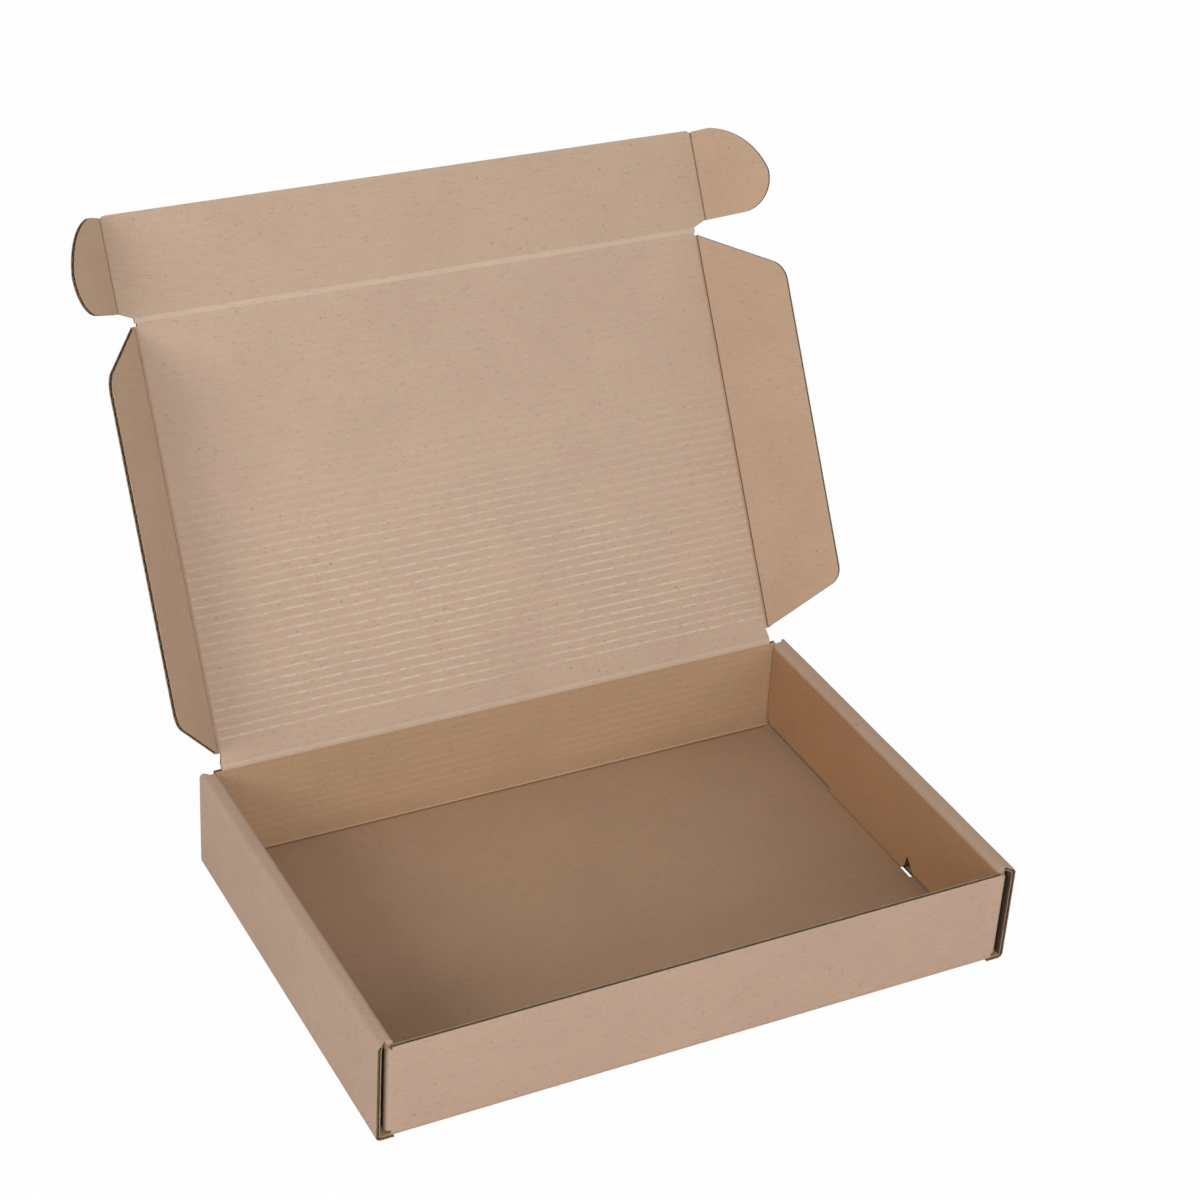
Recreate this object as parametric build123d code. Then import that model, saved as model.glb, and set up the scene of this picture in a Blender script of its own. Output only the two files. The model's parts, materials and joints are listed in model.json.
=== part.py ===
from build123d import *
from math import cos, radians, sin, tan
import os

# Roll-end mailer box of single-wall corrugated board, folded from one blank and standing open.
# Millimetres. Origin: centre of the base's underside. +X right along the front wall, +Y to the
# back wall, +Z up. Every panel is one board thick, and each crease turns about mid-board.

# ---- overall sizes -----------------------------------------------------------------------
width = 228.0                 # across the outer side walls
depth = 152.0                 # front wall's face to back wall's face
height = 37.4                 # to the top of the rolled side walls
board = 1.4                   # corrugated board
bend_radius = 1.9             # outside of a board's right-angle bend

# ---- clearances --------------------------------------------------------------------------
ear_clearance = 0.15          # each side of a locked ear in its pocket
ply_gap = 0.05                # between boards that lie on each other in a roll
hinge_gap = 0.1               # between a panel's edge and the round edge that turns beside it
lid_clearance = 0.2           # closed lid above the rolls, side flaps inside the walls
tuck_clearance = 0.4          # closed tuck flap in front of the front wall

# ---- tray --------------------------------------------------------------------------------
front_wall_drop = 1.7         # front wall's cut edge below the top of the rolls
corner_flap_length = 36.0     # front and back walls' flaps, folded back inside the rolls
corner_flap_margin = 3.0      # corner flaps' top and bottom edges inside the walls' height
inner_panel_lift = 2.0        # inner side panels' lower edges above the base
inner_panel_end_gap = 0.4     # inner side panels' ends from the front and back walls
inner_panel_foot = (2.6, 7.0)  # cut-back at the rear lower corner: along the wall, upwards
lock_tab_length = 51.0        # tab through the base, along the wall
lock_tab_rear = 48.0          # tab's rear end from the back wall's face
lock_tab_slant = 3.0          # tab's front end leans by this much
lock_tab_inset = 0.1          # tab's foot above the underside of the base
relief_rise = 4.6             # notch at the tab's front root, above the panel's lower edge
relief_length = 5.6
slot_clearance = 0.3          # slot around the lock tab's thickness
slot_overrun = 4.5            # slot beyond the front end of the tab
hinge_line_inset = 0.75       # hinge crease's ends inside the lid's side creases

# ---- lid ---------------------------------------------------------------------------------
lid_open_angle = 120.5        # from closed
lid_notch_length = 4.2        # notch between the hinge crease and each side flap
side_flap_rise = 4.9          # side flaps shorter than the walls' height by this
side_flap_rear_slope = 0.44   # rear edge's rise for each millimetre outwards
side_flap_front_slope = 0.52
side_flap_front_start = 2.0   # its root from the tuck crease
side_flap_rear_radius = 7.0
side_flap_front_radius = 8.5
side_flap_open_angle = 54.5   # folded in from the plane of the lid
side_flap_max_angle = 124.0   # with the lid closed

# ---- tuck flap and ears ------------------------------------------------------------------
tuck_rise = 2.5               # closed tuck flap's edge above the underside of the base
tuck_corner_radius = 1.5
ear_width = 27.4
ear_root = 2.9                # ear's lower edge from the tuck flap's crease
ear_open_angle = 50.0         # folded in from the plane of the tuck flap

# ---- places worked out from the sizes ------------------------------------------------------
half_board = board / 2
half_width = width / 2
half_depth = depth / 2
front_top = height - front_wall_drop
ear_x = half_width - board - ear_clearance - half_board
corner_fold_x = ear_x - half_board - ear_clearance
inner_panel_x = corner_fold_x - board - ply_gap
inner_face_x = inner_panel_x - board
side_flap_x = inner_face_x - lid_clearance - half_board
hinge_y = half_depth - half_board
hinge_z = height + lid_clearance + half_board
lid_length = hinge_y + half_depth + tuck_clearance + half_board
hinge_line_half = side_flap_x - hinge_line_inset
side_flap_width = height - side_flap_rise
tuck_height = hinge_z - tuck_rise
side_crease_gap = half_board * tan(radians(side_flap_max_angle / 2)) + hinge_gap
lid_half = side_flap_x - side_crease_gap
tuck_half = ear_x - half_board - hinge_gap
tab_rear_y = half_depth - lock_tab_rear
tab_front_y = tab_rear_y - lock_tab_length

lid_place = Location(Plane(
    origin=(0, hinge_y, hinge_z),
    x_dir=(1, 0, 0),
    z_dir=(0, -sin(radians(lid_open_angle)), -cos(radians(lid_open_angle))),
))
tuck_place = lid_place * Pos(0, lid_length, 0)


def box(x, y, z):
    """A block from three (low, high) pairs."""
    size = [high - low for low, high in (x, y, z)]
    middle = [(high + low) / 2 for low, high in (x, y, z)]
    return Pos(*middle) * Box(*size)


def bent_board(corners):
    """The section of a bent board whose outer side runs through the corners, board on its left."""
    outer = FilletPolyline(*corners, radius=bend_radius)
    return make_face(outer.offset_2d(board, kind=Kind.INTERSECTION, side=Side.LEFT, closed=True))


def panel(outline):
    """A flat panel about its middle plane."""
    return extrude(outline, amount=half_board, both=True)


def round_edge(start, end):
    """The half-round edge, as a rod, that lets a panel turn about the line start to end."""
    axis = Vector(*end) - Vector(*start)
    place = Plane(origin=start, z_dir=axis)
    return extrude(place * Circle(half_board), amount=axis.length)


# ---- tray ----------------------------------------------------------------------------------
def side_rolls():
    """Base, outer side walls, roll tops and inner side panels, as one bent section along Y."""
    lift = board + inner_panel_lift
    section = bent_board([
        (-inner_face_x, lift), (-inner_face_x, height), (-half_width, height), (-half_width, 0),
        (half_width, 0), (half_width, height), (inner_face_x, height), (inner_face_x, lift),
    ])
    return extrude(Plane.XZ * section, amount=half_depth, both=True)


def roll_end_cuts():
    """What is cut from the inner side panels and roll tops at the front and the back."""
    cuts = []
    for end in (-1, 1):
        wall_face = end * half_depth
        panel_end = end * (half_depth - board - inner_panel_end_gap)
        for side in (-1, 1):
            outline = make_face(Polyline(
                (side * (half_width - board), wall_face),
                (side * corner_fold_x, panel_end),
                (side * (lid_half - board), panel_end),
                (side * (lid_half - board), end * (half_depth + board)),
                (side * (half_width - board), end * (half_depth + board)),
                close=True,
            ))
            cuts.append(Pos(0, 0, board + hinge_gap) * extrude(outline, amount=height))
    return cuts


def base_end_cuts():
    """Room at the ends of the base for the front and back walls' bends."""
    cuts = []
    for end in (-1, 1):
        y = sorted((end * (half_depth - bend_radius), end * (half_depth + board)))
        cuts.append(box((-corner_fold_x, corner_fold_x), y, (-board, board + hinge_gap)))
    return cuts


def end_wall(end, top, wall_half):
    """Front (end -1) or back (end 1) wall with its bend to the base and its two corner flaps."""
    corners = [(0, 0), (end * half_depth, 0), (end * half_depth, top)]
    if end > 0:
        section = bent_board(corners)
    else:
        section = mirror(bent_board([(0, 0), (half_depth, 0), (half_depth, top)]), about=Plane.YZ)
    section -= Rectangle(2 * (half_depth - 2 * bend_radius), 4 * board)
    upright = extrude(Plane.YZ * section, amount=wall_half, both=True)
    length = half_depth - corner_flap_length
    ring = [
        (-corner_fold_x, end * length), (-corner_fold_x, end * half_depth),
        (corner_fold_x, end * half_depth), (corner_fold_x, end * length),
    ]
    if end > 0:
        ring.reverse()
    low = corner_flap_margin
    flaps = Pos(0, 0, low) * extrude(bent_board(ring), amount=height - corner_flap_margin - low)
    return upright, flaps


def lock_tab(side):
    """Lock tab below an inner side panel, seen along X, with its slanted front end."""
    top = board + inner_panel_lift
    outline = make_face(Polyline(
        (tab_rear_y, top), (tab_rear_y, lock_tab_inset),
        (tab_front_y + lock_tab_slant, lock_tab_inset), (tab_front_y, top),
        close=True,
    ))
    x = inner_face_x if side > 0 else -inner_panel_x
    return Pos(x, 0, 0) * extrude(Plane.YZ * outline, amount=board)


def relief_notch(side):
    """Three-cornered notch in the inner side panel, in front of the lock tab's root."""
    low = board + inner_panel_lift - hinge_gap
    outline = make_face(Polyline(
        (tab_front_y, low), (tab_front_y - half_board, low + relief_rise),
        (tab_front_y - relief_length, low),
        close=True,
    ))
    x = side * (inner_face_x + half_board)
    return Pos(x, 0, 0) * extrude(Plane.YZ * outline, amount=board, both=True)


def lock_slot(side):
    """Slot through the base for a lock tab."""
    x = side * (inner_face_x + half_board)
    half = half_board + slot_clearance
    y = (tab_front_y - slot_overrun, tab_rear_y + slot_clearance)
    return box((x - half, x + half), y, (-board, board + hinge_gap))


def rear_foot_cut(side):
    """Cut-back at the rear lower corner of an inner side panel."""
    length, rise = inner_panel_foot
    x = side * (inner_face_x + half_board)
    end = half_depth - board
    return box((x - board, x + half_board + ply_gap / 2), (end - length, end), (board + hinge_gap, board + rise))


def build_tray():
    tray = side_rolls()
    for cut in roll_end_cuts() + base_end_cuts():
        tray -= cut
    for side in (-1, 1):
        tray -= rear_foot_cut(side)
        tray -= relief_notch(side)
        tray -= lock_slot(side)
        tray += lock_tab(side)
    wall_half = corner_fold_x - bend_radius
    for end, top in ((-1, front_top), (1, hinge_z - half_board - hinge_gap)):
        upright, flaps = end_wall(end, top, wall_half)
        tray += upright
        tray += flaps
    return tray


# ---- lid -----------------------------------------------------------------------------------
def build_lid():
    """Lid panel in its own plane: X across, Y from the hinge to the tuck crease."""
    far = lid_length - half_board - hinge_gap
    outline = make_face(Polyline(
        (-hinge_line_half, 0), (hinge_line_half, 0), (hinge_line_half, 0.4 * lid_notch_length),
        (lid_half, lid_notch_length), (lid_half, far), (-lid_half, far),
        (-lid_half, lid_notch_length), (-hinge_line_half, 0.4 * lid_notch_length),
        close=True,
    ))
    lid = panel(outline)
    lid += round_edge((-hinge_line_half, 0, 0), (hinge_line_half, 0, 0))
    return lid_place * lid


def side_flap_outline():
    """Side flap: X out from its crease, Y from the lid's hinge."""
    rear = lid_notch_length + 0.7
    front = lid_length - side_flap_front_start
    rear_corner = rear + side_flap_rear_slope * side_flap_width
    front_corner = front - side_flap_front_slope * side_flap_width
    outline = make_face(Polyline(
        (0, rear), (side_flap_width, rear_corner), (side_flap_width, front_corner), (0, front),
        close=True,
    ))
    outer = outline.vertices().group_by(Axis.X)[-1].sort_by(Axis.Y)
    outline = fillet(outer[0], side_flap_rear_radius)
    outer = outline.vertices().sort_by_distance((side_flap_width, front_corner))[0]
    return fillet(outer, side_flap_front_radius), rear, front


def build_side_flap(side):
    outline, rear, front = side_flap_outline()
    flap = panel(outline) + round_edge((0, rear, 0), (0, front, 0))
    if side < 0:
        flap = mirror(flap, about=Plane.YZ)
    turn = -side * side_flap_open_angle
    return lid_place * Pos(side * side_flap_x, 0, 0) * Rot(0, turn, 0) * flap


# ---- tuck flap and ears --------------------------------------------------------------------
def build_tuck_flap():
    """Tuck flap in the plane of the lid: X across, Y from the tuck crease outwards."""
    root = side_flap_x
    top = tuck_height
    outline = make_face(Polyline(
        (-root, 0), (root, 0), (tuck_half, ear_root), (tuck_half, top),
        (-tuck_half, top), (-tuck_half, ear_root),
        close=True,
    ))
    corners = outline.vertices().group_by(Axis.Y)[-1]
    outline = fillet(corners, tuck_corner_radius)
    flap = panel(outline) + round_edge((-root, 0, 0), (root, 0, 0))
    return tuck_place * flap


def ear_outline():
    """Ear: X out from its crease, Y from the tuck crease; blunt below, swept back above."""
    top = tuck_height - 0.6
    shoulder = (0.52 * ear_width, ear_root)
    tip = (ear_width, 0.45 * tuck_height)
    crown = (0.28 * ear_width, top)
    lower = ThreePointArc(shoulder, (0.88 * ear_width, 0.19 * tuck_height), tip)
    upper = ThreePointArc(tip, (0.74 * ear_width, 0.79 * tuck_height), crown)
    return make_face([
        Line((0, ear_root), shoulder), lower, upper, Line(crown, (0, top)), Line((0, top), (0, ear_root)),
    ]), top


def build_ear(side):
    outline, top = ear_outline()
    ear = panel(outline) + round_edge((0, ear_root, 0), (0, top, 0))
    if side < 0:
        ear = mirror(ear, about=Plane.YZ)
    turn = -side * ear_open_angle
    return tuck_place * Pos(side * ear_x, 0, 0) * Rot(0, turn, 0) * ear


nodes = {
    "tray": build_tray(),
    "lid": build_lid(),
    "tuck_flap": build_tuck_flap(),
    "left_ear": build_ear(-1),
    "right_ear": build_ear(1),
    "left_side_flap": build_side_flap(-1),
    "right_side_flap": build_side_flap(1),
}

os.makedirs("parts", exist_ok=True)
for name, solid in nodes.items():
    solid.label = name
    export_step(solid, f"parts/{name}.step")
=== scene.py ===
import json
import math

import bmesh
import bpy
import numpy as np
from mathutils import Matrix, Vector


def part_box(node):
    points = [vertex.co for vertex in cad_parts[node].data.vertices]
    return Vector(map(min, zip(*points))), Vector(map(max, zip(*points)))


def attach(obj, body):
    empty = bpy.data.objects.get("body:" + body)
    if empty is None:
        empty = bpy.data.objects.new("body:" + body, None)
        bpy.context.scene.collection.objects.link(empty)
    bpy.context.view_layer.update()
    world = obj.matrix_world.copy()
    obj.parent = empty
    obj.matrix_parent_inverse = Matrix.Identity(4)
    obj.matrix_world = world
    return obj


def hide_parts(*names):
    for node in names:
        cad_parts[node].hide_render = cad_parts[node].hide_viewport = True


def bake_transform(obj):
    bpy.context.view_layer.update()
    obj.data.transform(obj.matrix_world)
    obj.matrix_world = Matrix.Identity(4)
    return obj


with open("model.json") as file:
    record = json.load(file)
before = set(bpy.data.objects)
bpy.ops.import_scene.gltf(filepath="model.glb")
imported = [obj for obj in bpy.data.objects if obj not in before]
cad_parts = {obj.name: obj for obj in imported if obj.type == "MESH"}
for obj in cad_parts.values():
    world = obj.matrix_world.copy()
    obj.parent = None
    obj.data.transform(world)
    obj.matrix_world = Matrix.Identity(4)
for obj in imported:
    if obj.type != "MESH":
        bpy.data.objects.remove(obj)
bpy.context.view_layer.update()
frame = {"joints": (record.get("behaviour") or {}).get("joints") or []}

# Lengths are in millimetres until a mesh is made. A board lies in (u, v, w): u across its flutes,
# v along them, and w through its thickness, positive towards the inside of the folded box.
MM = 0.001
BOARD = 1.4
HALF = BOARD / 2
LINER = 0.24            # thickness of each facing paper
FLUTE = 3.2             # from one flute to the next
ROW = FLUTE / 6
BUMP_DEPTH = 0.0002     # metres
WASHBOARD = 0.006       # how far the facings sink between flutes

# ---- places read from the frame ---------------------------------------------------------------
joints = {j["name"]: j for j in frame["joints"]}


def joint_point(name):
    return np.array(joints[name]["pos_m"], float) / MM


tray_high = np.array(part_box("tray")[1]) / MM
HINGE = joint_point("lid_crease")
TUCK_LINE = joint_point("tuck_flap_crease")
ALONG = np.array(joints["right_side_flap_crease"]["axis"], float)
ALONG /= np.linalg.norm(ALONG)
ACROSS = np.array([1.0, 0.0, 0.0])
INWARD = np.array([0.0, -ALONG[2], ALONG[1]])
LID_LENGTH = np.linalg.norm(TUCK_LINE - HINGE)
FLAP_X = abs(joint_point("right_side_flap_crease")[0])
EAR_X = abs(joint_point("right_ear_crease")[0])
HALF_WIDTH, HALF_DEPTH = tray_high[0], tray_high[1]
HEIGHT = HINGE[2] - HALF - 0.2          # top of the rolled sides

FLAP_ANGLE = math.radians(54.5)
EAR_ANGLE = math.radians(50.0)
LID_HALF = FLAP_X - 1.4165
TUCK_HEIGHT = HINGE[2] - 2.5
FLAP_WIDTH = HEIGHT - 4.9
EAR_WIDTH = 27.4
EAR_ROOT = 2.9
CORNER_FOLD_X = EAR_X - HALF - 0.15     # outer face of the corner flaps
INNER_X = CORNER_FOLD_X - BOARD - 0.05 - HALF   # middle of the inner side panels
CREASE = 0.9                            # half width of a plain crease
BEND = 1.2                              # middle radius of a right-angle bend
BEND_OUT = 1.9                          # outer radius of a right-angle bend
FLAP_START, EAR_START = 0.55, 0.8       # where flap and ear begin, out from their creases
FLAP_REAR, FLAP_FRONT = 4.9, 2.0        # side flap's root from the hinge and from the tuck crease
NOTCH_U = (0.0, 1.68, 4.2, 200.0)       # lid's side edge: places from the hinge


# ---- materials --------------------------------------------------------------------------------
class Nodes:
    """Short names for building a node tree."""

    def __init__(self, name):
        self.material = bpy.data.materials.new(name)
        self.material.use_nodes = True
        self.tree = self.material.node_tree
        self.shader = self.tree.nodes["Principled BSDF"]

    def put(self, socket, value):
        if isinstance(value, bpy.types.NodeSocket):
            self.tree.links.new(value, socket)
        else:
            socket.default_value = value

    def math(self, operation, a, b=0.0):
        node = self.tree.nodes.new("ShaderNodeMath")
        node.operation = operation
        self.put(node.inputs[0], a)
        self.put(node.inputs[1], b)
        return node.outputs[0]

    def ramp(self, value, low, high, to_low=0.0, to_high=1.0):
        node = self.tree.nodes.new("ShaderNodeMapRange")
        node.interpolation_type = "SMOOTHSTEP"
        for socket, item in zip(node.inputs[:5], (value, low, high, to_low, to_high)):
            self.put(socket, item)
        return node.outputs[0]

    def noise(self, vector, scale, detail=2.0, roughness=0.5):
        node = self.tree.nodes.new("ShaderNodeTexNoise")
        self.put(node.inputs["Vector"], self.scaled(vector, scale))
        node.inputs["Scale"].default_value = 1.0
        node.inputs["Detail"].default_value = detail
        node.inputs["Roughness"].default_value = roughness
        return node.outputs["Fac"]

    def scaled(self, vector, scale):
        node = self.tree.nodes.new("ShaderNodeVectorMath")
        node.operation = "MULTIPLY"
        self.put(node.inputs[0], vector)
        node.inputs[1].default_value = scale
        return node.outputs[0]

    def dots(self, vector, scale, size):
        """1 inside scattered small dots, most cells left empty."""
        node = self.tree.nodes.new("ShaderNodeTexVoronoi")
        self.put(node.inputs["Vector"], self.scaled(vector, (scale, scale, scale)))
        node.inputs["Scale"].default_value = 1.0
        parts = self.tree.nodes.new("ShaderNodeSeparateColor")
        self.put(parts.inputs[0], node.outputs["Color"])
        reach = self.math("MULTIPLY", self.math("POWER", parts.outputs[0], 3.0), size)
        return self.ramp(self.math("SUBTRACT", reach, node.outputs["Distance"]), -0.01, 0.02)

    def mix(self, factor, a, b):
        node = self.tree.nodes.new("ShaderNodeMix")
        node.data_type = "RGBA"
        self.put(node.inputs[0], factor)
        self.put(node.inputs[6], a)
        self.put(node.inputs[7], b)
        return node.outputs[2]

    def board(self):
        """(u, v, w) of the board, in millimetres, and its three parts."""
        attribute = self.tree.nodes.new("ShaderNodeAttribute")
        attribute.attribute_name = "board"
        parts = self.tree.nodes.new("ShaderNodeSeparateXYZ")
        self.put(parts.inputs[0], attribute.outputs["Vector"])
        return attribute.outputs["Vector"], parts.outputs

    def finish(self, colour, roughness, height, strength):
        self.put(self.shader.inputs["Base Color"], colour)
        self.put(self.shader.inputs["Roughness"], roughness)
        self.shader.inputs["Specular IOR Level"].default_value = 0.22
        bump = self.tree.nodes.new("ShaderNodeBump")
        bump.inputs["Strength"].default_value = strength
        bump.inputs["Distance"].default_value = BUMP_DEPTH
        self.put(bump.inputs["Height"], height)
        self.put(self.shader.inputs["Normal"], bump.outputs[0])
        return self.material


def shade(colour, factor):
    return tuple(channel * factor for channel in colour[:3]) + (1.0,)


KRAFT = (0.505, 0.352, 0.232, 1.0)
CREAM = (0.78, 0.66, 0.53, 1.0)
# dark brown for the paper's specks, and for the painted shade band near a fold
SPECK_AND_SHADE_DARK = (0.20, 0.115, 0.06, 1.0)


def kraft_paper(name, colour, lines=0.0, lines_reach=(0.0, 1.0), trough_shade_share=0.25, fold=0.0):
    """Kraft facing paper: cloudy tone, short fibres, specks, and flute lines printed through; painted shade
    in the troughs between flutes, and a painted dark band near a fold when one is given.
    """
    n = Nodes(name)
    vector, (u, v, _) = n.board()
    cloud = n.noise(vector, (0.035, 0.03, 0.4), 3.0)
    blotch = n.noise(vector, (0.16, 0.12, 0.4), 4.0, 0.6)
    fibre = n.noise(vector, (1.1, 2.6, 1.0), 3.0, 0.65)
    scratch = n.noise(vector, (2.3, 0.34, 1.0), 2.0, 0.6)
    hair = n.noise(vector, (0.5, 5.0, 1.0), 2.0, 0.5)
    tone = n.mix(n.ramp(cloud, 0.3, 0.7), shade(colour, 0.975), shade(colour, 1.025))
    tone = n.mix(n.math("MULTIPLY", n.ramp(blotch, 0.45, 0.75), 0.25), tone, shade(colour, 0.90))
    tone = n.mix(n.math("MULTIPLY", n.ramp(fibre, 0.50, 0.72), 0.34), tone, shade(colour, 0.74))
    tone = n.mix(n.math("MULTIPLY", n.ramp(hair, 0.60, 0.80), 0.30), tone, shade(colour, 1.25))
    tone = n.mix(n.math("MULTIPLY", n.dots(vector, 0.30, 0.15), 0.42), tone, SPECK_AND_SHADE_DARK)
    tone = n.mix(n.math("MULTIPLY", n.ramp(scratch, 0.58, 0.72), 0.50), tone, shade(colour, 0.62))
    # one flute's place in its cycle, a little wavy along the flute
    sway = n.math("MULTIPLY", n.math("SUBTRACT", n.noise(vector, (0.02, 0.09, 0.1), 2.0), 0.5), 0.9)
    cycle = n.math("MULTIPLY", n.math("ADD", u, sway), 2 * math.pi / FLUTE)
    wave = n.math("COSINE", cycle)
    # painted shade: the facing is darkened in the troughs between flutes, where it sinks
    trough_shade = n.math("MULTIPLY", n.ramp(wave, 0.6, -0.9), trough_shade_share)
    tone = n.mix(trough_shade, tone, shade(colour, 0.86))
    # painted shade: when fold is given, the paper is darkened in a band just inside that distance from the
    # middle, where the panel bends up into a wall
    if fold:
        fold_shade = n.ramp(n.math("ABSOLUTE", u), fold - 1.5, fold - 0.4)
        tone = n.mix(n.math("MULTIPLY", fold_shade, 0.85), tone, SPECK_AND_SHADE_DARK)
    if lines:
        broken = n.noise(vector, (0.3125, 0.24, 0.2), 2.0, 0.55)
        dash = n.ramp(broken, 0.36, 0.62, 0.22, 1.0)
        crest = n.ramp(wave, 0.55, 1.0)
        reach = n.ramp(u, lines_reach[1], lines_reach[0])
        clear = n.ramp(u, 6.0, 10.0)
        patch = n.ramp(n.noise(vector, (0.022, 0.018, 0.1), 2.0), 0.30, 0.62, 0.35, 1.0)
        share = n.math("MULTIPLY", n.math("MULTIPLY", dash, crest), n.math("MULTIPLY", reach, clear))
        share = n.math("MULTIPLY", n.math("MULTIPLY", share, patch), lines)
        tone = n.mix(share, tone, CREAM)
    roughness = n.ramp(fibre, 0.3, 0.8, 0.72, 0.88)
    height = n.math("ADD", n.math("MULTIPLY", fibre, 0.7), n.math("MULTIPLY", wave, 0.08))
    return n.finish(tone, roughness, height, 0.35)


def pressed_paper(name, colour, dark):
    """Kraft paper along a pressed crease, with a dark broken line down its middle as painted shade in the
    crease's groove.
    """
    n = Nodes(name)
    vector, (u, _, _) = n.board()
    fibre = n.noise(vector, (2.0, 0.5, 1.0), 3.0, 0.65)
    wander = n.math("MULTIPLY", n.math("SUBTRACT", n.noise(vector, (0.0, 0.25, 0.0), 2.0), 0.5), 0.5)
    off_middle = n.math("ABSOLUTE", n.math("ADD", u, wander))
    line = n.ramp(off_middle, 0.50, 0.12)
    line = n.math("MULTIPLY", line, n.ramp(fibre, 0.25, 0.55, 0.6, 0.95))
    tone = n.mix(n.ramp(fibre, 0.4, 0.7), shade(colour, 0.9), shade(colour, 1.05))
    return n.finish(n.mix(line, tone, dark), 0.85, fibre, 0.4)


def cut_board(name, colour, pale):
    """A cut edge or the fluted paper inside: torn fibres, with the fluting, where the board is open, painted
    darker as painted shade.
    """
    n = Nodes(name)
    vector, _ = n.board()
    ragged = n.noise(vector, (2.2, 2.2, 5.0), 3.0, 0.7)
    tone = n.mix(n.ramp(ragged, 0.35, 0.7), shade(colour, 0.7), shade(colour, 1.1))
    nick = n.noise(vector, (0.5, 0.16, 2.0), 3.0, 0.7)
    tone = n.mix(n.math("MULTIPLY", n.ramp(nick, 0.56, 0.66), pale), tone, CREAM)
    return n.finish(tone, 0.9, ragged, 0.5)


# Painted light: the box is one kraft board, and these base colours are lit and shaded copies of it. The lid
# and tuck papers are the lit ones. The flap, inside and outside papers are painted darker as painted shade,
# and the base, roll and pocket papers darker still.
lid_paper = kraft_paper("kraft_lid_inside", (0.506, 0.364, 0.268, 1.0), 0.42, (34.0, 112.0), 0.10)
inside_paper = kraft_paper("kraft_inside", (0.470, 0.305, 0.184, 1.0), 0.10, (10.0, 60.0), 0.10)
flap_paper = kraft_paper("kraft_flap_inside", (0.487, 0.335, 0.230, 1.0), 0.0, (0.0, 1.0), 0.08)
outside_paper = kraft_paper("kraft_outside", (0.452, 0.316, 0.232, 1.0), 0.0, (0.0, 1.0), 0.06)
# painted shade: the tray's side of the inner side panels is kraft painted darker and more orange, standing in
# for shade and for the warm cast of light bounced inside the tray
roll_shade_paper = kraft_paper("kraft_roll_inside_painted_shade", (0.385, 0.215, 0.110, 1.0), 0.0, (0.0, 1.0), 0.06)
# painted shade: the base is kraft painted darker and warmer for the shade inside the tray, with a painted
# dark band at its ends where it bends up into the walls
base_shade_paper = kraft_paper(
    "kraft_base_inside_painted_shade", (0.405, 0.258, 0.162, 1.0), 0.0, (0.0, 1.0), 0.07, HALF_DEPTH - BEND_OUT
)
tuck_paper = kraft_paper("kraft_tuck_inside", (0.500, 0.356, 0.256, 1.0), 0.0, (0.0, 1.0), 0.08)
# painted shadow: the facings inside the pockets of the rolled sides are kraft painted at 0.22 of its
# brightness, for the dark inside the pockets
pocket_shadow_paper = kraft_paper("kraft_pocket_painted_shadow", shade(KRAFT, 0.22), 0.0, (0.0, 1.0), 0.06)
# painted highlight: the hinge and tuck creases are kraft painted paler than the lid, for the light caught
# along the crease
crease_highlight_paper = kraft_paper("kraft_crease_painted_highlight", (0.56, 0.42, 0.32, 1.0), 0.0, (0.0, 1.0), 0.0)
# painted shade: the flap and ear creases carry a painted dark line in their groove
crease_groove_shade_paper = pressed_paper("kraft_crease_groove_painted_shade", (0.46, 0.31, 0.21, 1.0), (0.17, 0.085, 0.042, 1.0))
edge_paper = cut_board("kraft_cut_edge", shade(KRAFT, 0.84), 0.40)
# painted shade: the fluting and the inner faces of the facings are kraft painted at 0.52, for the shade
# inside the flutes
core_shade_paper = cut_board("kraft_fluting_painted_shade", shade(KRAFT, 0.52), 0.05)
INSIDE, OUTSIDE, EDGE, CORE, ROLL, POCKET_SHADOW = range(6)


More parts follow.
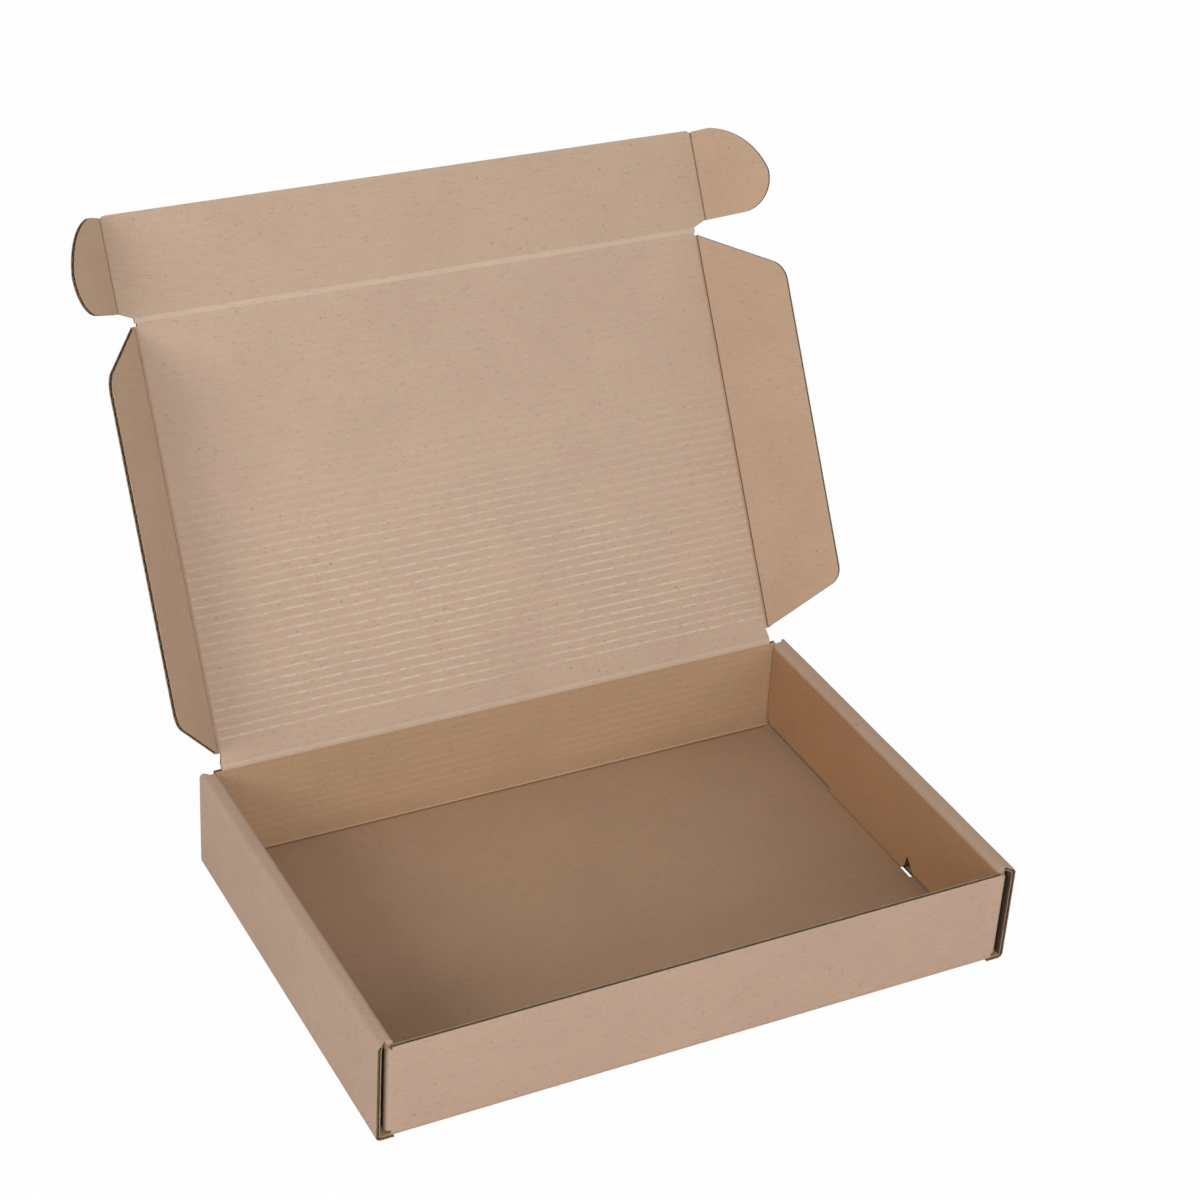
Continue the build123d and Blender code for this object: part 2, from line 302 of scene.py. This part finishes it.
# ---- board made of two facings and the fluted paper between them ------------------------------
class Board:
    """Collects the layers of one or more boards into a mesh."""

    def __init__(self, name, inside=inside_paper, outside=outside_paper):
        self.name = name
        self.papers = (inside, outside, edge_paper, core_shade_paper, roll_shade_paper, pocket_shadow_paper)
        self.points, self.flat, self.faces, self.marks = [], [], [], []
        self.count = 0

    def layer(self, place, u, v, low, high, marks):
        """A closed layer between w = low and w = high over the grid u, v."""
        rows, columns = v.shape
        across = np.repeat(u[:, None], columns, axis=1)
        for w in (low, high):
            w = np.broadcast_to(w, v.shape)
            self.points.append(place(across, v, w).reshape(-1, 3))
            self.flat.append(np.stack([across, v, w], axis=-1).reshape(-1, 3))
        index = np.arange(rows * columns).reshape(rows, columns) + self.count
        top = index + rows * columns
        self.count += 2 * rows * columns

        def quads(a, b, c, d, mark):
            made = np.stack([a.ravel(), b.ravel(), c.ravel(), d.ravel()], axis=1)
            self.faces.append(made)
            self.marks.append(np.full(len(made), mark))

        quads(index[:-1, :-1], index[1:, :-1], index[1:, 1:], index[:-1, 1:], marks[0])
        quads(top[:-1, :-1], top[:-1, 1:], top[1:, 1:], top[1:, :-1], marks[1])
        for line, other in (
            (index[0], top[0]), (top[-1], index[-1]), (top[:, 0], index[:, 0]), (index[:, -1], top[:, -1]),
        ):
            quads(line[:-1], line[1:], other[1:], other[:-1], marks[2])

    def add(self, place, rows, span, stations, recess=0.22):
        """A board over rows of u; span(u) gives the lowest and highest v of each row."""
        low, high = span(rows)
        v = np.clip(stations[None, :], low[:, None], high[:, None])
        dip = WASHBOARD * (1 - np.cos(2 * math.pi * rows / FLUTE))[:, None]
        inner = HALF - LINER
        self.layer(place, rows, v, inner, HALF - dip, (CORE, INSIDE, EDGE))
        self.layer(place, rows, v, -HALF + dip, -inner, (OUTSIDE, CORE, EDGE))
        keep = (rows >= rows[0] + recess) & (rows <= rows[-1] - recess)
        low, high = span(rows[keep])
        spare = np.maximum((high - low) / 2 - 0.01, 0)
        inset = np.minimum(recess, spare)
        v = np.clip(stations[None, :], (low + inset)[:, None], (high - inset)[:, None])
        wave = (inner - 0.09) * np.sin(2 * math.pi * rows[keep] / FLUTE)[:, None]
        self.layer(place, rows[keep], v, wave - 0.08, wave + 0.08, (CORE, CORE, CORE))

    def repaint(self, facing, paper, v_from):
        """Gives one facing another paper beyond v_from, either way along v."""
        flat_v = np.abs(np.concatenate(self.flat)[:, 1])
        for faces, marks in zip(self.faces, self.marks):
            beyond = flat_v[faces].mean(axis=1) > v_from
            marks[beyond & (marks == facing)] = paper

    def build(self, smooth=32):
        mesh = bpy.data.meshes.new(self.name)
        mesh.from_pydata(np.concatenate(self.points) * MM, [], np.concatenate(self.faces).tolist())
        board = mesh.attributes.new("board", "FLOAT_VECTOR", "POINT")
        board.data.foreach_set("vector", np.concatenate(self.flat).astype(np.float32).ravel())
        mesh.polygons.foreach_set("material_index", np.concatenate(self.marks).astype(np.int32))
        work = bmesh.new()
        work.from_mesh(mesh)
        bmesh.ops.remove_doubles(work, verts=work.verts, dist=2e-7)
        bmesh.ops.dissolve_degenerate(work, edges=work.edges, dist=1e-8)
        bmesh.ops.recalc_face_normals(work, faces=work.faces)
        work.to_mesh(mesh)
        work.free()
        for paper in self.papers:
            mesh.materials.append(paper)
        mesh.shade_smooth()
        mesh.set_sharp_from_angle(angle=math.radians(smooth))
        piece = bpy.data.objects.new(self.name, mesh)
        bpy.context.scene.collection.objects.link(piece)
        return piece


def steps(low, high, size=ROW, extra=()):
    """Evenly stepped values from low to high, with the extra ones among them."""
    count = max(2, int(round((high - low) / size)) + 1)
    values = np.concatenate([np.linspace(low, high, count), [x for x in extra if low < x < high]])
    return np.unique(np.round(values, 4))


def flat_place(origin, v_way, u_way, normal):
    def place(u, v, w):
        return origin + v[..., None] * v_way + u[..., None] * u_way + w[..., None] * normal
    return place


def rounded(corners, radii, count=10):
    """Points (u, v) along a line through the corners, each turned with its radius."""
    corners = [np.array(c, float) for c in corners]
    out = [corners[0]]
    for before, corner, after, radius in zip(corners, corners[1:], corners[2:], radii):
        a, b = before - corner, after - corner
        a, b = a / np.linalg.norm(a), b / np.linalg.norm(b)
        half = math.acos(float(np.clip(a @ b, -1, 1))) / 2
        reach = radius / math.tan(half)
        middle = corner + (a + b) / np.linalg.norm(a + b) * radius / math.sin(half)
        start, end = corner + a * reach - middle, corner + b * reach - middle
        turn = math.acos(float(np.clip(start @ end / radius**2, -1, 1)))
        for share in np.linspace(0, 1, count):
            mixed = math.sin((1 - share) * turn) * start + math.sin(share * turn) * end
            out.append(middle + mixed / math.sin(turn))
    out.append(corners[-1])
    return np.array(out)


class Path:
    """A bent line with its place and its normal on the left, at each length along it."""

    def __init__(self, corners):
        points = rounded(corners, [BEND] * (len(corners) - 2), 9)
        self.length = np.concatenate([[0], np.cumsum(np.linalg.norm(np.diff(points, axis=0), axis=1))])
        self.points = points
        corners = np.array(corners, float)
        ways = np.diff(corners, axis=0)
        ways /= np.linalg.norm(ways, axis=1)[:, None]
        normals = [ways[0]]
        for a, b in zip(ways, ways[1:]):
            for share in np.linspace(0, 1, 9):
                turned = a * math.cos(share * math.pi / 2) + b * math.sin(share * math.pi / 2)
                normals.append(turned)
        normals.append(ways[-1])
        self.ways = np.array(normals)

    def at(self, v):
        place = np.stack([np.interp(v, self.length, self.points[:, i]) for i in (0, 1)], axis=-1)
        way = np.stack([np.interp(v, self.length, self.ways[:, i]) for i in (0, 1)], axis=-1)
        way /= np.linalg.norm(way, axis=-1, keepdims=True)
        return place, np.stack([-way[..., 1], way[..., 0]], axis=-1)

    def where(self, axis, value, low=0):
        """Length along the path, after low, at which the coordinate first reaches value."""
        v = np.linspace(low, self.length[-1], 4000)
        got = self.at(v)[0][:, axis]
        return v[np.argmin(np.abs(got - value))]


# ---- tray -------------------------------------------------------------------------------------
TAB_REAR, TAB_FRONT = 28.0, -23.0
PANEL_END = HALF_DEPTH - BOARD - 0.4
SLOT_IN, SLOT_OUT = INNER_X - 1.0, INNER_X + 1.0
PANEL_LOW = 3.4


def add_side(board, side):
    """Outer side wall, roll top and inner side panel, from the lock slot round to the lock tab."""
    wall_x, top = HALF_WIDTH - HALF, HEIGHT - HALF
    path = Path([(SLOT_IN, HALF), (wall_x, HALF), (wall_x, top), (INNER_X, top), (INNER_X, -1.0)])
    over = path.length[-1] - top

    def level(z):
        """Length along the path at height z on the inner side panel."""
        return path.length[-1] - (z + 1.0)

    mitre = [path.where(0, x, over - 9) for x in (CORNER_FOLD_X, CORNER_FOLD_X + 0.85, HALF_WIDTH - BOARD)]
    edge_y = [
        -HALF_DEPTH, -PANEL_END - 0.9, -PANEL_END, -PANEL_END + 0.01, TAB_FRONT - 5.6, TAB_FRONT - 0.7,
        TAB_FRONT, TAB_FRONT + 3.0, TAB_REAR, TAB_REAR + 0.01, PANEL_END - 2.2, PANEL_END - 2.19,
        PANEL_END - 0.01, PANEL_END, PANEL_END + 0.9, HALF_DEPTH,
    ]
    edge_v = [
        mitre[2], mitre[1], mitre[0], level(PANEL_LOW), level(PANEL_LOW), level(7.9),
        level(PANEL_LOW), level(0.1), level(0.1), level(PANEL_LOW), level(PANEL_LOW), level(8.4),
        level(8.4), mitre[0], mitre[1], mitre[2],
    ]
    slot_y = (TAB_FRONT - 4.5, TAB_REAR + 0.3)

    def span(y):
        start = np.where((y > slot_y[0]) & (y < slot_y[1]), SLOT_OUT - SLOT_IN, 0.0)
        return start, np.interp(y, edge_y, edge_v)

    def place(y, v, w):
        spot, normal = path.at(v)
        bow = 0.10 * np.sin(y * 0.083 + 0.6) + 0.06 * np.sin(y * 0.21)
        high = np.clip((spot[..., 1] - 20) / 14, 0, 1)
        x = spot[..., 0] + w * normal[..., 0] - 0.5 * bow * high * (spot[..., 0] > INNER_X + 2)
        z = spot[..., 1] + w * normal[..., 1]
        return np.stack([side * x, y, z], axis=-1)

    slot_ends = [slot_y[0] + 0.01, slot_y[0], slot_y[1], slot_y[1] - 0.01]
    rows = steps(-HALF_DEPTH, HALF_DEPTH, ROW, edge_y + slot_ends)
    bends = path.length[(path.length > 0) & (path.length < path.length[-1])]
    plain = np.concatenate([np.linspace(0, path.length[-1], 16), mitre])
    stations = np.unique(np.round(np.concatenate([bends, plain, [SLOT_OUT - SLOT_IN, level(7.9)]]), 4))
    board.add(place, rows, span, stations)
    # painted shade: the inner side panel's face towards the tray takes the darker roll paper
    board.repaint(OUTSIDE, ROLL, level(top - 1.6))
    # painted shadow: the facings inside the roll's pocket take the dark pocket paper
    board.repaint(INSIDE, POCKET_SHADOW, 5.0)


def add_end_wall(board, end, top):
    """Front or back wall, its bend from the base, and its two corner flaps inside the rolls."""
    middle = HALF_DEPTH - HALF
    rise = Path([(HALF_DEPTH - BEND_OUT - 0.001, HALF), (middle, HALF), (middle, top)])
    flap = 36.0
    ring_x = CORNER_FOLD_X - HALF
    ring = Path([(-ring_x, flap), (-ring_x, 0.0), (ring_x, 0.0), (ring_x, flap)])
    half = ring.length[-1] / 2
    flat_half = CORNER_FOLD_X - BEND_OUT
    foot = rise.length[-1] - (top - 3.0)
    head = rise.length[-1] - (top - (HEIGHT - 3.0))

    def span(u):
        wide = (u > foot) & (u < head)
        reach = np.where(wide, half, flat_half)
        return -reach, reach

    def place(u, v, w):
        spot, normal = ring.at(v + half)
        climb, lean = rise.at(u)
        x = spot[..., 0] + w * normal[..., 0]
        inwards = w * normal[..., 1] * -lean[..., 0] + spot[..., 1]
        y = end * (climb[..., 0] - inwards)
        z = climb[..., 1] + w * lean[..., 1]
        return np.stack([x, y, z], axis=-1)

    rows = steps(0, rise.length[-1], ROW, [foot, foot + 0.01, head - 0.01, head])
    bends = ring.length - half
    plain = np.linspace(-half, half, 40)
    stations = np.unique(np.round(np.concatenate([bends, plain, [flat_half, -flat_half]]), 4))
    board.add(place, rows, span, stations)
    # painted shadow: the corner flaps' outer faces, inside the rolls' pockets, take the dark pocket paper
    board.repaint(OUTSIDE, POCKET_SHADOW, flat_half + 2.6)


def build_tray():
    base = Board("base_panel", base_shade_paper)
    reach = HALF_DEPTH - BEND_OUT
    base.add(
        flat_place(np.array([0, 0, HALF]), ACROSS, np.array([0, 1.0, 0]), np.array([0, 0, 1.0])),
        steps(-reach, reach), lambda u: (np.full(len(u), -SLOT_IN), np.full(len(u), SLOT_IN)),
        np.linspace(-SLOT_IN, SLOT_IN, 24), 0.0,
    )
    pieces = [base.build()]
    for side, name in ((-1, "left_rolled_side"), (1, "right_rolled_side")):
        board = Board(name)
        add_side(board, side)
        pieces.append(board.build())
    for end, name, top in ((-1, "front_wall", HEIGHT - 1.7), (1, "back_wall", HINGE[2] - CREASE)):
        board = Board(name)
        add_end_wall(board, end, top)
        pieces.append(board.build())
    for piece in pieces:
        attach(piece, "tray")
    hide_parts("tray")


# ---- lid, flaps and ears ----------------------------------------------------------------------
def turned(side, angle):
    """Out and inside ways of a flap folded in by angle from the lid's plane."""
    out = side * ACROSS * math.cos(angle) + INWARD * math.sin(angle)
    normal = INWARD * math.cos(angle) - side * ACROSS * math.sin(angle)
    return out, normal


def build_lid():
    board = Board("lid_panel", lid_paper)

    def span(u):
        half = np.interp(u, NOTCH_U, [FLAP_X - 0.75, FLAP_X - 0.75, LID_HALF, LID_HALF])
        return -half, half

    place = flat_place(HINGE, ACROSS, ALONG, INWARD)
    rows = steps(CREASE, LID_LENGTH - CREASE, ROW, [1.68, 4.2])
    stations = np.unique(np.concatenate([np.linspace(-LID_HALF, LID_HALF, 30), [-FLAP_X, FLAP_X]]))
    board.add(place, rows, span, stations)
    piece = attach(board.build(), "lid")
    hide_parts("lid")


def flap_outline():
    rear, front = FLAP_REAR, LID_LENGTH - FLAP_FRONT
    return rounded(
        [
            (rear, 0), (rear + 0.44 * FLAP_WIDTH, FLAP_WIDTH),
            (front - 0.52 * FLAP_WIDTH, FLAP_WIDTH), (front, 0),
        ],
        [7.0, 8.5],
    )


def build_side_flap(side, name):
    out, normal = turned(side, FLAP_ANGLE)
    outline = flap_outline()
    board = Board(name, flap_paper)
    start = FLAP_START

    def span(u):
        return np.full(len(u), start), np.maximum(np.interp(u, outline[:, 0], outline[:, 1]), start + 0.02)

    place = flat_place(HINGE + side * FLAP_X * ACROSS, out, ALONG, normal)
    rows = steps(outline[0, 0] + 0.3, outline[-1, 0] - 0.3, ROW, outline[:, 0])
    stations = np.unique(np.round(np.concatenate([np.linspace(start, FLAP_WIDTH, 12), outline[1:-1, 1]]), 3))
    board.add(place, rows, span, stations)
    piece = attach(board.build(), name)
    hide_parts(name)


def build_tuck():
    board = Board("tuck_panel", tuck_paper)
    edge = EAR_X - 0.8
    corner = rounded([(0, edge), (TUCK_HEIGHT, edge), (TUCK_HEIGHT, edge - 5)], [1.5])

    def span(u):
        half = np.interp(u, np.concatenate([[CREASE, EAR_ROOT], corner[1:-1, 0]]),
                         np.concatenate([[LID_HALF + 0.5, edge], corner[1:-1, 1]]))
        return -half, half

    place = flat_place(TUCK_LINE, ACROSS, ALONG, INWARD)
    rows = steps(CREASE, TUCK_HEIGHT, ROW, list(corner[1:-1, 0]) + [EAR_ROOT])
    turns = corner[1:-1, 1]
    stations = np.unique(np.round(np.concatenate([np.linspace(-edge, edge, 26), turns, -turns]), 3))
    board.add(place, rows, span, stations)
    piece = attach(board.build(), "tuck_flap")
    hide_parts("tuck_flap")


def arc_through(a, b, c, count=24):
    """Points on the circle through three points, from a past b to c."""
    (ax, ay), (bx, by), (cx, cy) = a, b, c
    d = 2 * (ax * (by - cy) + bx * (cy - ay) + cx * (ay - by))
    x = ((ax**2 + ay**2) * (by - cy) + (bx**2 + by**2) * (cy - ay) + (cx**2 + cy**2) * (ay - by)) / d
    y = ((ax**2 + ay**2) * (cx - bx) + (bx**2 + by**2) * (ax - cx) + (cx**2 + cy**2) * (bx - ax)) / d
    first, last = math.atan2(ay - y, ax - x), math.atan2(cy - y, cx - x)
    turns = (last - first + math.pi) % (2 * math.pi) - math.pi
    radius = math.hypot(ax - x, ay - y)
    return [(x + radius * math.cos(first + turns * s), y + radius * math.sin(first + turns * s))
            for s in np.linspace(0, 1, count)]


def ear_outline():
    """(v, u) points of the ear's outer line, from its shoulder round to its crown."""
    shoulder = (0.52 * EAR_WIDTH, EAR_ROOT)
    tip = (EAR_WIDTH, 0.45 * TUCK_HEIGHT)
    crown = (0.28 * EAR_WIDTH, TUCK_HEIGHT - 0.6)
    lower = arc_through(shoulder, (0.88 * EAR_WIDTH, 0.19 * TUCK_HEIGHT), tip)
    upper = arc_through(tip, (0.74 * EAR_WIDTH, 0.79 * TUCK_HEIGHT), crown)
    return np.array(lower + upper[1:])


def build_ear(side, name):
    out, normal = turned(side, EAR_ANGLE)
    outline = ear_outline()
    board = Board(name, flap_paper)
    start = EAR_START

    def span(u):
        return np.full(len(u), start), np.interp(u, outline[:, 1], outline[:, 0])

    place = flat_place(TUCK_LINE + side * EAR_X * ACROSS, out, ALONG, normal)
    rows = steps(EAR_ROOT, TUCK_HEIGHT - 0.6, ROW, outline[::3, 1])
    stations = np.unique(np.round(np.concatenate([np.linspace(start, EAR_WIDTH, 14), outline[:, 0]]), 3))
    board.add(place, rows, span, stations)
    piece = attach(board.build(), name)
    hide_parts(name)


# ---- creases between the panels ---------------------------------------------------------------
def build_crease(name, origin, axis, reach, side_a, side_b, groove, paper):
    """A pressed band of board between two panels.

    Each side is the way out from the crease in its panel, the panel's normal, and the band's width.
    """
    way_a, normal_a, width_a = side_a
    way_b, normal_b, width_b = side_b
    board = Board(name, paper, outside_paper)
    t = np.linspace(-width_a, width_b, 13)
    pinch = groove * np.exp(-((t / (0.45 * (width_a + width_b) / 2)) ** 2))
    v = np.repeat(np.array(steps(reach[0], reach[1], 2.5))[None, :], len(t), axis=0)

    def place(u, v, w):
        on_b = (u > 0)[..., None]
        normal = np.where(on_b, normal_b, normal_a)
        near = (np.abs(u) < 1e-9)[..., None]
        middle = (normal_a + normal_b) / np.linalg.norm(normal_a + normal_b)
        normal = np.where(near, middle, normal)
        step = np.abs(u)[..., None] * np.where(on_b, way_b, way_a)
        return origin + v[..., None] * axis + step + w[..., None] * normal

    board.layer(place, t, v, (-HALF + 0.3 * pinch)[:, None], (HALF - pinch)[:, None], (OUTSIDE, INSIDE, EDGE))
    piece = board.build(60)
    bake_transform(piece)


def build_creases():
    down, forward = np.array([0, 0, -1.0]), np.array([0, -1.0, 0])
    hinge_half, tuck_half = FLAP_X - 0.75, LID_HALF + 0.5
    build_crease(
        "hinge_crease", HINGE, ACROSS, (-hinge_half, hinge_half),
        (down, forward, CREASE), (ALONG, INWARD, CREASE), 0.10, crease_highlight_paper,
    )
    build_crease(
        "tuck_crease", TUCK_LINE, ACROSS, (-tuck_half, tuck_half),
        (-ALONG, INWARD, CREASE), (ALONG, INWARD, CREASE), -0.08, crease_highlight_paper,
    )
    for side, word in ((-1, "left"), (1, "right")):
        out, normal = turned(side, FLAP_ANGLE)
        build_crease(
            word + "_flap_crease", HINGE + side * FLAP_X * ACROSS,
            ALONG, (FLAP_REAR, LID_LENGTH - FLAP_FRONT),
            (-side * ACROSS, INWARD, FLAP_X - LID_HALF), (out, normal, FLAP_START), 0.5, crease_groove_shade_paper,
        )
        out, normal = turned(side, EAR_ANGLE)
        build_crease(
            word + "_ear_crease", TUCK_LINE + side * EAR_X * ACROSS,
            ALONG, (EAR_ROOT, TUCK_HEIGHT - 0.8),
            (-side * ACROSS, INWARD, EAR_START), (out, normal, EAR_START), 0.4, crease_groove_shade_paper,
        )


build_tray()
build_lid()
build_tuck()
for side_sign, side_word in ((-1, "left"), (1, "right")):
    build_side_flap(side_sign, side_word + "_side_flap")
    build_ear(side_sign, side_word + "_ear")
build_creases()


# ---- floor, light and camera ------------------------------------------------------------------
def build_stage():
    n = Nodes("floor_white")
    n.shader.inputs["Base Color"].default_value = (0.86, 0.86, 0.87, 1)
    n.shader.inputs["Roughness"].default_value = 0.8
    glow = n.tree.nodes.new("ShaderNodeEmission")
    glow.inputs["Color"].default_value = (1, 1, 1, 1)
    glow.inputs["Strength"].default_value = 1.0
    rays = n.tree.nodes.new("ShaderNodeLightPath")
    seen = n.math("MAXIMUM", rays.outputs["Is Camera Ray"], rays.outputs["Is Glossy Ray"])
    seen = n.math("MAXIMUM", seen, rays.outputs["Is Transmission Ray"])
    blend = n.tree.nodes.new("ShaderNodeMixShader")
    n.put(blend.inputs[0], n.math("MULTIPLY", seen, 0.97))
    n.put(blend.inputs[1], n.shader.outputs[0])
    n.put(blend.inputs[2], glow.outputs[0])
    n.put(n.tree.nodes["Material Output"].inputs["Surface"], blend.outputs[0])
    mesh = bpy.data.meshes.new("floor")
    size = 6.0
    corners = [(-size, -size, 0), (size, -size, 0), (size, size, 0), (-size, size, 0)]
    mesh.from_pydata(corners, [], [(0, 1, 2, 3)])
    mesh.materials.append(n.material)
    floor = bpy.data.objects.new("floor", mesh)
    floor.location.z = -0.0003
    bpy.context.scene.collection.objects.link(floor)


def build_world():
    world = bpy.data.worlds.new("studio")
    bpy.context.scene.world = world
    world.use_nodes = True
    tree = world.node_tree
    back = tree.nodes["Background"]
    back.inputs["Color"].default_value = (0.97, 0.98, 1.0, 1)
    back.inputs["Strength"].default_value = 0.49
    white = tree.nodes.new("ShaderNodeBackground")
    white.inputs["Color"].default_value = (1, 1, 1, 1)
    white.inputs["Strength"].default_value = 1.0
    rays = tree.nodes.new("ShaderNodeLightPath")
    seen = tree.nodes.new("ShaderNodeMath")
    seen.operation = "MAXIMUM"
    tree.links.new(rays.outputs["Is Camera Ray"], seen.inputs[0])
    tree.links.new(rays.outputs["Is Transmission Ray"], seen.inputs[1])
    mix = tree.nodes.new("ShaderNodeMixShader")
    tree.links.new(seen.outputs[0], mix.inputs[0])
    tree.links.new(back.outputs[0], mix.inputs[1])
    tree.links.new(white.outputs[0], mix.inputs[2])
    tree.links.new(mix.outputs[0], tree.nodes["World Output"].inputs["Surface"])


def add_lamp(name, azimuth, elevation, distance, size, power, colour, target):
    light = bpy.data.lights.new(name, "AREA")
    light.size = size
    light.energy = power
    light.color = colour
    lamp = bpy.data.objects.new(name, light)
    a, e = math.radians(azimuth), math.radians(elevation)
    back = Vector((math.sin(a) * math.cos(e), -math.cos(a) * math.cos(e), math.sin(e)))
    lamp.location = Vector(target) + back * distance
    lamp.rotation_mode = "QUATERNION"
    lamp.rotation_quaternion = back.to_track_quat("Z", "Y")
    bpy.context.scene.collection.objects.link(lamp)


def build_camera():
    azimuth, elevation, roll = (math.radians(x) for x in (-28.8, 31.5, 3.66))
    target, distance = Vector((0.00064, 0.01336, 0.11567)), 0.91952
    back = Vector((math.sin(azimuth) * math.cos(elevation), -math.cos(azimuth) * math.cos(elevation),
                   math.sin(elevation)))
    level = Vector((math.cos(azimuth), math.sin(azimuth), 0))
    up = back.cross(level)
    right = level * math.cos(roll) + up * math.sin(roll)
    top = back.cross(right)
    data = bpy.data.cameras.new("camera")
    data.sensor_width = 36.0
    data.lens = 2857.4 / 1200 * 36.0
    data.clip_start, data.clip_end = 0.01, 50
    camera = bpy.data.objects.new("camera", data)
    turn = Matrix((right, top, back)).transposed().to_4x4()
    camera.matrix_world = Matrix.Translation(target + back * distance) @ turn
    bpy.context.scene.collection.objects.link(camera)
    bpy.context.scene.camera = camera


build_stage()
build_world()
add_lamp("key", -6, 18, 1.2, 0.5, 5.2, (1.0, 0.985, 0.97), (0, 0.02, 0.08))
add_lamp("left", -72, 26, 1.2, 0.45, 5.6, (1.0, 0.985, 0.97), (0, 0.02, 0.10))
add_lamp("right_fill", 60, 28, 1.6, 0.9, 3.2, (1.0, 0.985, 0.97), (0, 0.02, 0.08))
build_camera()
bpy.context.scene.view_settings.view_transform = "Standard"
